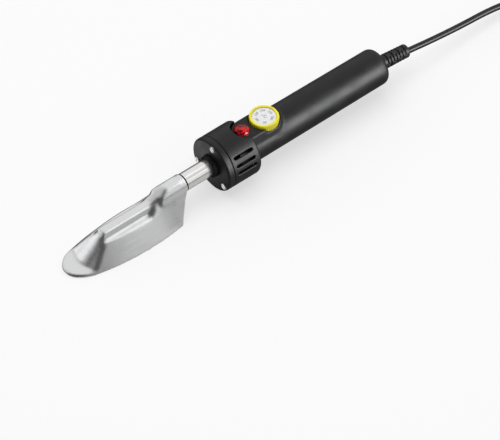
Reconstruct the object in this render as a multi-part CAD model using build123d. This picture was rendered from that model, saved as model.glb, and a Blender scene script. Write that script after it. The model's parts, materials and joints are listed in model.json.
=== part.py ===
from build123d import *
import math
import os

# A mains-heated hand iron: a cast shoe on a steel neck tube, a vented collar and a round handle
# with a lamp and a temperature dial, and a mains cord with a plug.
# Millimetres. +X runs from the shoe's tip to the cord, +Z is up and the floor is z = 0.
# The origin is under the middle of the tool, which rests on its sole and its collar.

# ---- driving dimensions: stations along the tool ----
TIP_X = -187.0
SHOE_REAR_X = -60.7
CAP_FRONT_X = -29.2
CAP_THICKNESS = 6.2
COLLAR_REAR_X = 6.5
HANDLE_REAR_X = 156.5
RELIEF_REAR_X = 187.0

# ---- driving dimensions: section sizes ----
AXIS_Z = 25.2
COLLAR_RADIUS = 25.2
COLLAR_WALL = 2.4
HANDLE_FRONT_RADIUS = 17.5
HANDLE_REAR_RADIUS = 16.7
HANDLE_WALL = 2.2
NECK_RADIUS = 8.0
NECK_WALL = 0.9
BUSH_RADIUS = 10.2
CORD_DIAMETER = 5.5
FIT = 0.15

# ---- shoe ----
SOLE_REAR_X = -75.7
SOLE_REAR_HALF_WIDTH = 20.8
SOLE_HALF_WIDTH = 24.0
SOLE_WIDEST_X = -112.0
NOSE_START_X = -165.0
NOSE_START_HALF_WIDTH = 18.9
SOCKET_RADIUS = 8.8
SOCKET_FRONT_X = -80.7
SPINE_REAR_X = -97.7
SPINE_FRONT_X = -147.7
SPINE_HALF_WIDTH = 5.0
SPINE_TOP_Z = AXIS_Z + 1.0
LEDGE_TOP_Z = AXIS_Z - 5.7
LEDGE_REAR_X = -102.7
LEDGE_FRONT_X = -151.8
TIP_PLATE_TOP_Z = 3.0
SIDE_LEAN = 33.0
HEATER_RADIUS = 4.0
HEATER_LENGTH = 80.0
HEATER_SLOPE = 10.0

# ---- console, lamp and dial ----
CONSOLE_TOP_Z = AXIS_Z + 19.8
CONSOLE_HALF_WIDTH = 11.8
CONSOLE_DRAFT = 14.0
LAMP_X = 4.2
LAMP_RADIUS = 6.75
DIAL_X = 28.6
DIAL_RADIUS = 13.1
DIAL_TOP_Z = AXIS_Z + 22.3
DIAL_RECESS_RADIUS = 13.6
DIAL_RECESS_Z = AXIS_Z + 15.6
SHAFT_RADIUS = 3.0

# ---- inside the handle ----
BOARD_Z = AXIS_Z + 1.0
BOARD_THICKNESS = 1.6
BOARD_FRONT_X = -2.0
BOARD_REAR_X = 66.0
BOARD_WIDTH = 27.0
TERMINALS_X = 88.0
CLAMP_X = 128.0
WIRE_RADIUS = 1.0

# ---- cord: hand-set points of its route, the put-away coil and the plug ----
CORD_ROUTE = [
    (156.5, 0.0, 25.2),
    (186.5, -1.6, 21.6),
    (217.0, -2.2, 16.4),
    (249.0, -2.0, 11.6),
    (279.0, -1.8, 7.9),
    (305.0, -4.4, 4.7),
    (329.0, -13.0, 3.2),
    (351.5, -23.2, 3.75),
]
COIL_X = 366.0
COIL_Y = 12.0
COIL_MEAN_RADIUS = 30.0
COIL_TURNS_WIDE = 4
COIL_LAYERS = 2
COIL_FLOOR_GAP = 1.0
TAIL_ROUTE = [
    (331.3, 28.2, 9.25),
    (326.8, 9.0, 11.6),
    (332.5, -5.0, 17.2),
    (347.0, -10.5, 25.5),
    (368.0, -10.5, 30.5),
]
TIE_ANGLE = 60.0
PLUG_RADIUS = 18.4


def along_x(x, z=AXIS_Z, y=0.0):
    """A plane across the tool at station x: its first axis is +Y and its second is +Z."""
    return Plane(origin=(x, y, z), x_dir=(0, 1, 0), z_dir=(1, 0, 0))


def rod_x(x0, x1, radius, y=0.0, z=AXIS_Z):
    """A solid cylinder parallel to the tool's axis."""
    return extrude(along_x(x0, z, y) * Circle(radius), amount=x1 - x0)


def pipe_x(x0, x1, outer, inner, y=0.0, z=AXIS_Z):
    """A tube parallel to the tool's axis."""
    return rod_x(x0, x1, outer, y, z) - rod_x(x0, x1, inner, y, z)


def post_z(x, y, z0, z1, radius):
    """An upright solid cylinder."""
    return extrude(Plane(origin=(x, y, z0)) * Circle(radius), amount=z1 - z0)


def block(x0, x1, y0, y1, z0, z1):
    """A box between three pairs of limits."""
    size = (x1 - x0, y1 - y0, z1 - z0)
    return Pos((x0 + x1) / 2, (y0 + y1) / 2, (z0 + z1) / 2) * Box(*size)


def turned(outline):
    """A solid turned about the tool's axis from (x, radius) points."""
    points = [(x, 0, AXIS_Z + radius) for x, radius in outline]
    return revolve(make_face(Polyline(*points, close=True)), Axis((0, 0, AXIS_Z), (1, 0, 0)))


def side_shape(outline, half_width):
    """A solid of constant width whose side view is a polygon of (x, z) points."""
    face = make_face(Polyline(*[(x, 0, z) for x, z in outline], close=True))
    return extrude(face, amount=half_width, both=True)


def ring_point(radius, angle):
    """Y and Z of a point on a circle round the tool's axis, at an angle from the top."""
    turn = math.radians(angle)
    return radius * math.sin(turn), AXIS_Z + radius * math.cos(turn)


def smooth_tube(points, radius):
    """A round tube of straight runs and the largest tangent arcs; returns it and its length."""
    corners = [Vector(*p) for p in points]
    runs = [b - a for a, b in zip(corners, corners[1:])]
    radii = []
    for before, after in zip(runs, runs[1:]):
        half_turn = math.radians(before.get_angle(after)) / 2
        radii.append(0.45 * min(before.length, after.length) / math.tan(half_turn))
    path = FilletPolyline(*corners, radius=radii)
    section = Plane(origin=path @ 0, z_dir=path % 0) * Circle(radius)
    return sweep(section, path=path), path, radii


# ---------------------------------------------------------------- shoe


def sole_side():
    """One side of the sole's plan: a single long arc, widest a third of the way along."""
    rear = (SOLE_REAR_X, SOLE_REAR_HALF_WIDTH)
    widest = (SOLE_WIDEST_X, SOLE_HALF_WIDTH)
    return ThreePointArc(rear, widest, (NOSE_START_X, NOSE_START_HALF_WIDTH))


def sole_outline():
    """Plan of the shoe's sole: arched sides and a blunt rounded nose."""
    nose_start = (NOSE_START_X, NOSE_START_HALF_WIDTH)
    nose = Spline(nose_start, (-181.5, 11.0), (TIP_X, 0), tangents=[(-1, -0.18), (0, -1)])
    rear = Polyline((SHOE_REAR_X - 1, 0), (SHOE_REAR_X - 1, 19.0), (SOLE_REAR_X, SOLE_REAR_HALF_WIDTH))
    half = rear + sole_side() + nose
    return make_face(half + mirror(half, Plane.XZ))


def shoe_wedge():
    """The shoe's leaning sides, drawn as a tapered block from the sole upwards."""
    rear = Polyline((-45, 0), (-45, 17.5), (SOLE_REAR_X, SOLE_REAR_HALF_WIDTH))
    front = Polyline((NOSE_START_X, NOSE_START_HALF_WIDTH), (-205, 10.0), (-205, 0))
    half = rear + sole_side() + front
    return extrude(make_face(half + mirror(half, Plane.XZ)), amount=AXIS_Z + 3, taper=SIDE_LEAN)


def pocket_end_cut(side):
    """The half-space in front of one pocket's front end, which slopes and turns outwards."""
    origin = (LEDGE_FRONT_X, side * 9.0, LEDGE_TOP_Z)
    plane = Plane(origin=origin, x_dir=(0.3 * side, 1, 0), z_dir=(-1, 0.3 * side, 1.07))
    return extrude(plane * Rectangle(160, 160), amount=90)


def lower_body():
    """The body up to the side ledges, sloping to the plate in front and to the socket behind."""
    profile = [
        (-76.4, 0),
        (SHOE_REAR_X, AXIS_Z),
        (SHOE_REAR_X, AXIS_Z + 2.5),
        (-92.0, AXIS_Z + 2.5),
        (LEDGE_REAR_X, LEDGE_TOP_Z),
        (-180.0, LEDGE_TOP_Z),
        (-180.0, 0),
    ]
    body = side_shape(profile, 30) & shoe_wedge()
    return body - pocket_end_cut(1) - pocket_end_cut(-1)


def spine():
    """The narrow raised spine, with a conical nose that runs out on the tip plate."""
    profile = [
        (SHOE_REAR_X - 6, 6),
        (SHOE_REAR_X - 6, AXIS_Z + SOCKET_RADIUS - 0.6),
        (SOCKET_FRONT_X, AXIS_Z + SOCKET_RADIUS - 0.6),
        (SPINE_REAR_X, SPINE_TOP_Z),
        (SPINE_FRONT_X - 2, SPINE_TOP_Z),
        (SPINE_FRONT_X - 2, 1),
        (-90, 1),
    ]
    ridge = side_shape(profile, SPINE_HALF_WIDTH)
    height = SPINE_TOP_Z - 1
    nose = Pos(SPINE_FRONT_X + SPINE_HALF_WIDTH, 0, 1 + height / 2) * Cone(31.0, SPINE_HALF_WIDTH, height)
    return ridge + (nose & nose_flanks())


def nose_flanks():
    """Slightly splayed flanks that widen the spine's nose towards the plate."""
    back = SPINE_FRONT_X + SPINE_HALF_WIDTH
    outline = [(back, SPINE_HALF_WIDTH), (-150, SPINE_HALF_WIDTH), (-176, 6.8), (-190, 7.6)]
    corners = outline + [(x, -y) for x, y in reversed(outline)]
    return extrude(make_face(Polyline(*corners, close=True)), amount=40)


def heater_plane():
    """The heater's bore: it starts at the neck tube's end and dips forward into the shoe."""
    slope = math.radians(HEATER_SLOPE)
    direction = (-math.cos(slope), 0, -math.sin(slope))
    return Plane(origin=(SHOE_REAR_X - 13.5, 0, AXIS_Z - 1.0), x_dir=(0, 1, 0), z_dir=direction)


def shoe_bores():
    """The bores for the neck tube, the heater, the sensor and the set screw."""
    tube_bore = rod_x(SHOE_REAR_X - 16, SHOE_REAR_X + 1, NECK_RADIUS + FIT)
    heater_bore = extrude(heater_plane() * Circle(HEATER_RADIUS + FIT), amount=HEATER_LENGTH + 1)
    sensor_bore = rod_x(SHOE_REAR_X - 24, SHOE_REAR_X - 15, 1.4, z=AXIS_Z + 4.3)
    screw_bore = post_z(SHOE_REAR_X - 9, 0, 0, AXIS_Z, 2.0)
    return tube_bore + heater_bore + sensor_bore + screw_bore


def shoe():
    """The cast aluminium shoe, bored for the neck tube, the heater and the sensor."""
    plate = extrude(sole_outline(), amount=TIP_PLATE_TOP_Z) & shoe_wedge()
    socket = rod_x(SOCKET_FRONT_X - 9, SHOE_REAR_X, SOCKET_RADIUS)
    rear_slope = side_shape([(-76.4, 0), (-60, AXIS_Z + 1.1), (-60, 50), (-200, 50), (-200, 0)], 30)
    above_slope = [
        (SOCKET_FRONT_X, 50),
        (SOCKET_FRONT_X, AXIS_Z + SOCKET_RADIUS),
        (SPINE_REAR_X, SPINE_TOP_Z),
        (SPINE_REAR_X, 50),
    ]
    casting = (plate + lower_body() + spine() + socket) & rear_slope
    return casting - side_shape(above_slope, 30) - shoe_bores()


def heater_cartridge():
    return extrude(heater_plane() * Circle(HEATER_RADIUS), amount=HEATER_LENGTH)


def sensor_probe():
    return rod_x(SHOE_REAR_X - 23.5, SHOE_REAR_X - 12, 1.25, z=AXIS_Z + 4.3)


def shoe_set_screw():
    """The grub screw that holds the neck tube, with a hexagon socket from below."""
    screw = post_z(SHOE_REAR_X - 9, 0, 11.0, AXIS_Z - NECK_RADIUS - 0.05, 1.9)
    key = Plane(origin=(SHOE_REAR_X - 9, 0, 11.0)) * RegularPolygon(1.1, 6)
    return screw - extrude(key, amount=2.5)


# ---------------------------------------------------------------- neck


def neck_tube():
    return pipe_x(SHOE_REAR_X - 15.5, -12.0, NECK_RADIUS, NECK_RADIUS - NECK_WALL)


def neck_flange():
    """The steel disc brazed on the tube, which the front cap presses on the collar."""
    return pipe_x(-19.0, -17.0, 17.0, NECK_RADIUS + 0.02)


def neck_bush():
    """The insulating bush round the tube in the cap, with a shoulder behind the cap."""
    sleeve = pipe_x(CAP_FRONT_X - 3.6, -22.9, BUSH_RADIUS, NECK_RADIUS + 0.05)
    return sleeve + pipe_x(-22.9, -20.9, 15.0, NECK_RADIUS + 0.05)


def mica_washer():
    return pipe_x(-20.8, -19.1, 17.0, NECK_RADIUS + 0.05)


# ---------------------------------------------------------------- front cap and collar

SCREW_CIRCLE = 20.8
SCREW_HEAD_RADIUS = 3.1
CAP_SCREW_ANGLES = (-5, 115, 235)


def screw_place(angle):
    """Y and Z of one of the cap's three screws; angle 0 is straight up."""
    return ring_point(SCREW_CIRCLE, angle)


def front_cap():
    """The round cap with a softened front edge, bored for the bush and the three screws."""
    rear_x = CAP_FRONT_X + CAP_THICKNESS
    disc = rod_x(CAP_FRONT_X, rear_x, COLLAR_RADIUS)
    disc = fillet(disc.edges().filter_by(GeomType.CIRCLE).sort_by(Axis.X)[0], 1.6)
    disc = disc - rod_x(CAP_FRONT_X - 1, rear_x + 1, BUSH_RADIUS + 0.05)
    disc = disc - rod_x(rear_x - 1.2, rear_x + 1, COLLAR_RADIUS - COLLAR_WALL - 5.3)
    for angle in CAP_SCREW_ANGLES:
        y, z = screw_place(angle)
        disc = disc - rod_x(CAP_FRONT_X - 1, rear_x + 1, 1.6, y, z)
        disc = disc - rod_x(CAP_FRONT_X - 1, CAP_FRONT_X + 0.8, SCREW_HEAD_RADIUS + 0.1, y, z)
    return disc


def cap_screws():
    """Three slotted pan-head screws that hold the cap on the collar."""
    screws = []
    for angle in CAP_SCREW_ANGLES:
        y, z = screw_place(angle)
        head = rod_x(CAP_FRONT_X - 0.9, CAP_FRONT_X + 0.8, SCREW_HEAD_RADIUS, y, z)
        head = fillet(head.edges().filter_by(GeomType.CIRCLE).sort_by(Axis.X)[0], 0.8)
        slot = Pos(CAP_FRONT_X - 0.9, y, z) * Rot(angle * 0.7 + 25, 0, 0) * Box(1.4, 8, 0.9)
        screws.append(head + rod_x(CAP_FRONT_X + 0.8, -12.0, 1.45, y, z) - slot)
    return Compound(children=screws)


VENT_ANGLES = (48.6, 66.4, 83.3)
VENT_WIDTH = 2.8
VENT_FRONT_X = -19.5
VENT_REAR_X = 0.5


def vent_slot(angle):
    """A round-ended slot through the collar's wall, at an angle from the top."""
    turn = math.radians(angle)
    outward = (0, math.sin(turn), math.cos(turn))
    middle = ((VENT_FRONT_X + VENT_REAR_X) / 2, 0, AXIS_Z)
    plane = Plane(origin=middle, x_dir=(1, 0, 0), z_dir=outward)
    slot = SlotOverall(VENT_REAR_X - VENT_FRONT_X, VENT_WIDTH)
    return extrude(plane * slot, amount=COLLAR_RADIUS + 3) - rod_x(-30, 30, COLLAR_RADIUS - 4.5)


def collar():
    """The vented collar: a thin drum with a U-shaped notch that takes the console's front."""
    front_x = CAP_FRONT_X + CAP_THICKNESS + 0.05
    drum = rod_x(front_x, COLLAR_REAR_X, COLLAR_RADIUS)
    ends = drum.edges().filter_by(GeomType.CIRCLE).sort_by(Axis.X)
    drum = fillet(ends[-1], 3.0)
    drum = chamfer(drum.edges().filter_by(GeomType.CIRCLE).sort_by(Axis.X)[0], 0.5)
    drum = drum - rod_x(front_x - 1, COLLAR_REAR_X - 2.5, COLLAR_RADIUS - COLLAR_WALL)
    for angle in CAP_SCREW_ANGLES:
        y, z = screw_place(angle)
        boss = rod_x(front_x, front_x + 14, 3.2, y, z) & rod_x(front_x, 0, COLLAR_RADIUS - 1)
        drum = drum + boss - rod_x(front_x - 1, front_x + 12, 1.5, y, z)
    drum = drum - rod_x(front_x - 1, COLLAR_REAR_X + 1, HANDLE_FRONT_RADIUS + 0.1)
    for angle in VENT_ANGLES:
        drum = drum - vent_slot(angle) - vent_slot(-angle)
    return drum - collar_notch()


# ---------------------------------------------------------------- handle

CONSOLE_BASE_Z = AXIS_Z + 8.0


def console_plan(z, half_width):
    """The console's plan at one height: two round ends joined by straight sides."""
    base_half = CONSOLE_HALF_WIDTH + (CONSOLE_TOP_Z - CONSOLE_BASE_Z) * math.tan(math.radians(CONSOLE_DRAFT))
    front = LAMP_X - 9.4 + CONSOLE_HALF_WIDTH
    rear = DIAL_X + 18.8 - base_half
    middle = Pos((front + rear) / 2, 0) * Rectangle(rear - front, 2 * half_width)
    ends = Pos(front, 0) * Circle(half_width) + Pos(rear, 0) * Circle(half_width)
    return Plane(origin=(0, 0, z)) * (middle + ends)


def console_block(grow):
    """The console: drafted sides, a round front round the lamp and a round rear past the dial."""
    height = CONSOLE_TOP_Z - CONSOLE_BASE_Z
    base_half = CONSOLE_HALF_WIDTH + height * math.tan(math.radians(CONSOLE_DRAFT))
    return extrude(console_plan(CONSOLE_BASE_Z, base_half + grow), amount=height, taper=CONSOLE_DRAFT)


def collar_notch():
    """The U-shaped opening that the collar leaves round the console and above it."""
    above = extrude(console_plan(CONSOLE_TOP_Z - 0.5, CONSOLE_HALF_WIDTH + 0.25), amount=12)
    return console_block(0.15) + above


def handle_bar():
    """The handle's outside: a long drafted bar with a softened rear end."""
    outline = [
        (-10.0, 0),
        (-10.0, HANDLE_FRONT_RADIUS),
        (COLLAR_REAR_X, HANDLE_FRONT_RADIUS),
        (HANDLE_REAR_X, HANDLE_REAR_RADIUS),
        (HANDLE_REAR_X, 0),
    ]
    bar = turned(outline)
    rear = bar.edges().filter_by(GeomType.CIRCLE).sort_by(Axis.X)[-1]
    return fillet(rear, 6.0)


def handle_shell():
    """The one-piece handle: bar and console, hollow, with seats for the lamp, dial and relief."""
    outer = handle_bar() + console_block(0)
    hollow = [
        (-11.0, 0),
        (-11.0, HANDLE_FRONT_RADIUS - HANDLE_WALL),
        (COLLAR_REAR_X, HANDLE_FRONT_RADIUS - HANDLE_WALL),
        (HANDLE_REAR_X - 8, HANDLE_REAR_RADIUS - HANDLE_WALL),
        (HANDLE_REAR_X - 3, HANDLE_REAR_RADIUS - HANDLE_WALL - 3),
        (HANDLE_REAR_X - 3, 0),
    ]
    shell = outer - turned(hollow)
    shell = shell + post_z(DIAL_X, 0, DIAL_RECESS_Z - 2.4, DIAL_RECESS_Z, 7.0)
    shell = shell - block(LAMP_X, DIAL_X - 11, -7.4, 7.4, AXIS_Z, CONSOLE_TOP_Z - 2.2)
    shell = shell - post_z(LAMP_X, 0, AXIS_Z, CONSOLE_TOP_Z - 2.2, 7.4)
    shell = shell - post_z(DIAL_X, 0, DIAL_RECESS_Z, DIAL_TOP_Z + 5, DIAL_RECESS_RADIUS)
    shell = shell - post_z(DIAL_X, 0, AXIS_Z, DIAL_TOP_Z, 3.7)
    shell = shell - post_z(LAMP_X, 0, AXIS_Z, CONSOLE_TOP_Z + 1, 5.6)
    return shell - rod_x(HANDLE_REAR_X - 5, HANDLE_REAR_X + 1, 4.5)


# ---------------------------------------------------------------- lamp


def lamp_bezel():
    """The lamp's threaded barrel and thin rim on the console."""
    rim = post_z(LAMP_X, 0, CONSOLE_TOP_Z, CONSOLE_TOP_Z + 0.9, LAMP_RADIUS + 0.8)
    rim = fillet(rim.edges().filter_by(GeomType.CIRCLE).sort_by(Axis.Z)[-1], 0.4)
    barrel = post_z(LAMP_X, 0, CONSOLE_TOP_Z - 9, CONSOLE_TOP_Z, 5.5)
    bore = post_z(LAMP_X, 0, CONSOLE_TOP_Z - 10, CONSOLE_TOP_Z + 2, 4.3)
    seat = post_z(LAMP_X, 0, CONSOLE_TOP_Z + 0.3, CONSOLE_TOP_Z + 2, LAMP_RADIUS + 0.05)
    return rim + barrel - bore - seat


def lamp_lens():
    """The faceted red dome, hollow under its crown, with a skirt in the barrel."""
    base_z = CONSOLE_TOP_Z + 0.3
    levels = [(0, 1.0, 0), (1.5, 0.97, 0), (3.3, 0.72, 18), (4.5, 0.34, 0)]
    rings = []
    for rise, share, turn in levels:
        ring = Rot(0, 0, turn) * RegularPolygon(LAMP_RADIUS * share, 10)
        rings.append(Pos(LAMP_X, 0, base_z + rise) * ring)
    dome = loft(rings[:2], ruled=True) + loft(rings[1:3], ruled=True) + loft(rings[2:], ruled=True)
    skirt = post_z(LAMP_X, 0, base_z - 5, base_z + 0.5, 4.2)
    return dome + skirt - post_z(LAMP_X, 0, base_z - 6, base_z + 2.6, 3.2)


def lamp_nut():
    nut = extrude(Plane(origin=(LAMP_X, 0, CONSOLE_TOP_Z - 5.4)) * RegularPolygon(7.1, 6), amount=3)
    return nut - post_z(LAMP_X, 0, CONSOLE_TOP_Z - 6, CONSOLE_TOP_Z, 5.55)


def lamp_bulb():
    """The small neon bulb inside the lens."""
    bulb = post_z(LAMP_X, 0, CONSOLE_TOP_Z - 9.5, CONSOLE_TOP_Z + 1.2, 2.6)
    return fillet(bulb.edges().filter_by(GeomType.CIRCLE).sort_by(Axis.Z)[-1], 2.0)


# ---------------------------------------------------------------- dial

DIAL_RIM = 2.6
DISC_DEPTH = 1.3
DISC_THICKNESS = 0.4


def dial_knob():
    """The yellow knob: a shallow drum with a finely ribbed edge, a disc seat and a hub."""
    drum = post_z(DIAL_X, 0, DIAL_RECESS_Z + 0.5, DIAL_TOP_Z, DIAL_RADIUS)
    drum = fillet(drum.edges().filter_by(GeomType.CIRCLE).sort_by(Axis.Z)[-1], 1.0)
    disc_seat = post_z(DIAL_X, 0, DIAL_TOP_Z - DISC_DEPTH, DIAL_TOP_Z + 1, DIAL_RADIUS - DIAL_RIM)
    hollow = post_z(DIAL_X, 0, DIAL_RECESS_Z, DIAL_TOP_Z - 2.2, DIAL_RADIUS - 2)
    hub = post_z(DIAL_X, 0, DIAL_RECESS_Z + 2.8, DIAL_TOP_Z - 2, 5.0)
    return drum - disc_seat - hollow + hub - dial_shaft_post(0.0)


def dial_shaft_post(clearance):
    """The shaft with a flat on one side, as far as it goes up into the knob's hub."""
    post = post_z(DIAL_X, 0, AXIS_Z + 9.0, DIAL_TOP_Z - 1.8, SHAFT_RADIUS + clearance)
    flat = block(DIAL_X + 1.9, DIAL_X + 5, -5, 5, DIAL_RECESS_Z + 2.6, DIAL_TOP_Z)
    return post - flat


def dial_disc():
    """The printed disc set in the knob's top."""
    bottom_z = DIAL_TOP_Z - DISC_DEPTH
    return post_z(DIAL_X, 0, bottom_z, bottom_z + DISC_THICKNESS, DIAL_RADIUS - DIAL_RIM - 0.1)


def potentiometer_body():
    """The control's round can under the console, with its bushing round the shaft."""
    can = post_z(DIAL_X, 0, AXIS_Z + 3.0, AXIS_Z + 8.5, 8.2)
    bushing = post_z(DIAL_X, 0, AXIS_Z + 8.5, DIAL_RECESS_Z + 2.3, 3.6)
    return can + bushing - post_z(DIAL_X, 0, AXIS_Z + 8.7, DIAL_RECESS_Z + 3, SHAFT_RADIUS + 0.05)


def potentiometer_nut():
    """The nut that clamps the control's bushing on the recess floor, under the knob."""
    nut = extrude(Plane(origin=(DIAL_X, 0, DIAL_RECESS_Z + 0.05)) * RegularPolygon(5.5, 6), amount=1.8)
    return nut - post_z(DIAL_X, 0, DIAL_RECESS_Z, DIAL_RECESS_Z + 3, 3.65)


# ---------------------------------------------------------------- electronics

BOARD_TOP_Z = BOARD_Z + BOARD_THICKNESS


def control_board():
    return block(BOARD_FRONT_X, BOARD_REAR_X, -BOARD_WIDTH / 2, BOARD_WIDTH / 2, BOARD_Z, BOARD_TOP_Z)


def triac():
    """The power switch: a flat package lying on its tab on the board."""
    case = block(50, 59, -5.2, 5.2, BOARD_TOP_Z + 1.4, BOARD_TOP_Z + 5.6)
    tab = block(44, 62, -5.2, 5.2, BOARD_TOP_Z + 0.05, BOARD_TOP_Z + 1.4)
    return case + tab - post_z(46.5, 0, BOARD_Z, BOARD_TOP_Z + 4, 1.8)


def heat_sink():
    """A finned aluminium strip under the board, beneath the triac."""
    base = block(40, 60, -9, 9, BOARD_Z - 2.1, BOARD_Z - 0.1)
    for y in (-8, -4, 0, 4, 8):
        base = base + block(40, 60, y - 0.6, y + 0.6, BOARD_Z - 6.6, BOARD_Z - 2.1)
    return base


def suppression_capacitor():
    return fillet(block(-1, 7, -12, -2.5, BOARD_Z - 9.1, BOARD_Z - 0.1).edges(), 0.8)


def smoothing_capacitor():
    can = rod_x(9, 21, 4.0, 8.0, BOARD_Z - 4.1)
    return fillet(can.edges().filter_by(GeomType.CIRCLE), 0.6)


def glass_fuse():
    """A glass fuse lying under the board: a tube with two metal caps, as one sealed piece."""
    body = rod_x(12, 32, 2.3, -6, BOARD_Z - 4)
    return body + rod_x(12, 17, 2.6, -6, BOARD_Z - 4) + rod_x(27, 32, 2.6, -6, BOARD_Z - 4)


def dropper_resistors():
    """Three resistors side by side on the board."""
    bodies = []
    for x in (41.5, 45.0, 48.5):
        end = Plane(origin=(x, 12.8, BOARD_TOP_Z + 1.6), z_dir=(0, -1, 0))
        bodies.append(extrude(end * Circle(1.4), amount=7))
    return Compound(children=bodies)


TERMINAL_PITCH = 8.0
TERMINAL_YS = (-TERMINAL_PITCH, 0, TERMINAL_PITCH)
TERMINAL_HALF_LENGTH = 8.0


def terminal_block():
    """A three-way screw terminal block."""
    x0 = TERMINALS_X - TERMINAL_HALF_LENGTH
    x1 = TERMINALS_X + TERMINAL_HALF_LENGTH
    body = block(x0, x1, -12, 12, AXIS_Z - 5, AXIS_Z + 2)
    for y in TERMINAL_YS:
        body = body + block(x0 + 1, x1 - 1, y - 3, y + 3, AXIS_Z + 2, AXIS_Z + 6)
        body = body - rod_x(x0 - 1, x1 + 1, 1.9, y, AXIS_Z - 1)
        for x in (x0 + 4, x1 - 4):
            body = body - post_z(x, y, AXIS_Z - 1, AXIS_Z + 7, 1.7)
    return body


def terminal_screws():
    """Two clamping screws in each way of the terminal block."""
    screws = []
    for y in TERMINAL_YS:
        for side in (-1, 1):
            x = TERMINALS_X + side * (TERMINAL_HALF_LENGTH - 4)
            screw = post_z(x, y, AXIS_Z + 0.1, AXIS_Z + 4.6, 1.6)
            screws.append(screw - block(x - 2, x + 2, y - 0.3, y + 0.3, AXIS_Z + 3.8, AXIS_Z + 5))
    return Compound(children=screws)


def cord_clamp():
    """The bridge that presses the cord on its saddle, held by two screws."""
    bridge = block(CLAMP_X - 4, CLAMP_X + 4, -11, 11, AXIS_Z + 0.6, AXIS_Z + 4.6)
    bridge = bridge - rod_x(CLAMP_X - 5, CLAMP_X + 5, CORD_DIAMETER / 2 + 0.02)
    for y in (-7.5, 7.5):
        bridge = bridge - post_z(CLAMP_X, y, AXIS_Z, AXIS_Z + 6, 1.55)
    return bridge


def clamp_saddle():
    """The lower half of the clamp, a block resting on the handle's inner wall."""
    saddle = block(CLAMP_X - 4, CLAMP_X + 4, -11, 11, AXIS_Z - 8.5, AXIS_Z - 0.6)
    saddle = saddle - rod_x(CLAMP_X - 5, CLAMP_X + 5, CORD_DIAMETER / 2 + 0.02)
    for y in (-7.5, 7.5):
        saddle = saddle - post_z(CLAMP_X, y, AXIS_Z - 7, AXIS_Z, 1.3)
    return saddle


def clamp_screws():
    screws = []
    for y in (-7.5, 7.5):
        head = post_z(CLAMP_X, y, AXIS_Z + 4.65, AXIS_Z + 6.4, 2.6)
        slot = block(CLAMP_X - 3, CLAMP_X + 3, y - 0.35, y + 0.35, AXIS_Z + 5.7, AXIS_Z + 7)
        screws.append(head + post_z(CLAMP_X, y, AXIS_Z - 6, AXIS_Z + 4.65, 1.25) - slot)
    return Compound(children=screws)


# ---------------------------------------------------------------- wires inside


def wire(points, radius=WIRE_RADIUS):
    return smooth_tube(points, radius)[0]


def heater_leads():
    """Two insulated leads from the heater's rear end, through the neck, to the board."""
    leads = []
    for side in (-1, 1):
        route = [
            (-73.4, 1.6 * side, AXIS_Z - 1.2),
            (-60, 2.2 * side, AXIS_Z - 2),
            (-40, 2.4 * side, AXIS_Z - 1.4),
            (-20, 2.2 * side, AXIS_Z - 2),
            (-8, 4.5 * side, AXIS_Z - 1),
            (-3.6, 6.2 * side, BOARD_Z + 0.8),
        ]
        leads.append(wire(route, 1.1))
    return Compound(children=leads)


def sensor_leads():
    """The sensor's twin lead, above the heater's leads, to the board."""
    route = [
        (-72.6, 0, AXIS_Z + 4.3),
        (-55, 0.6, AXIS_Z + 3.6),
        (-35, -0.5, AXIS_Z + 3.8),
        (-16, 0.6, AXIS_Z + 3.0),
        (-2.2, 0, BOARD_Z + 0.9),
    ]
    return wire(route, 0.9)


def mains_wires(y, start_x):
    """One core from the board's edge to the terminal block."""
    route = [
        (start_x, y * 0.9, BOARD_Z - 2.6),
        (71.5, y * 0.95, BOARD_Z - 3.4),
        (TERMINALS_X - TERMINAL_HALF_LENGTH + 3, y, AXIS_Z - 1),
    ]
    return wire(route, 0.9)


def cord_core(y):
    """One of the cord's cores, fanned out from the sheath's end to the terminal block."""
    start = y * 0.222
    route = [
        (112.0, start, AXIS_Z),
        (106.0, start * 1.3, AXIS_Z + 0.3),
        (99.5, y * 0.96, AXIS_Z - 0.6),
        (TERMINALS_X + TERMINAL_HALF_LENGTH - 3, y, AXIS_Z - 1),
    ]
    return wire(route, 0.85)


def earth_lead():
    """The earth wire under the board, from the neck flange's tag to the terminal block."""
    route = [
        (-16.9, -10.5, AXIS_Z - 7.0),
        (-4, -9.5, AXIS_Z - 9.2),
        (16, -0.5, AXIS_Z - 11.5),
        (40, 3.0, AXIS_Z - 10.2),
        (62, -3.5, AXIS_Z - 9.2),
        (76.5, -7.6, AXIS_Z - 7.4),
        (79.3, -TERMINAL_PITCH, AXIS_Z - 2.6),
    ]
    return wire(route, 0.9)


# ---------------------------------------------------------------- cord, strain relief, plug

RELIEF_RADIUS = 6.8
RELIEF_END_RADIUS = 6.2
RELIEF_DROOP = 6.0
RELIEF_ROOT = 1.5
RELIEF_TIP_CHAMFER = 0.8
RELIEF_RIBS = 7
RIB_GAP = 1.3


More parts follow.
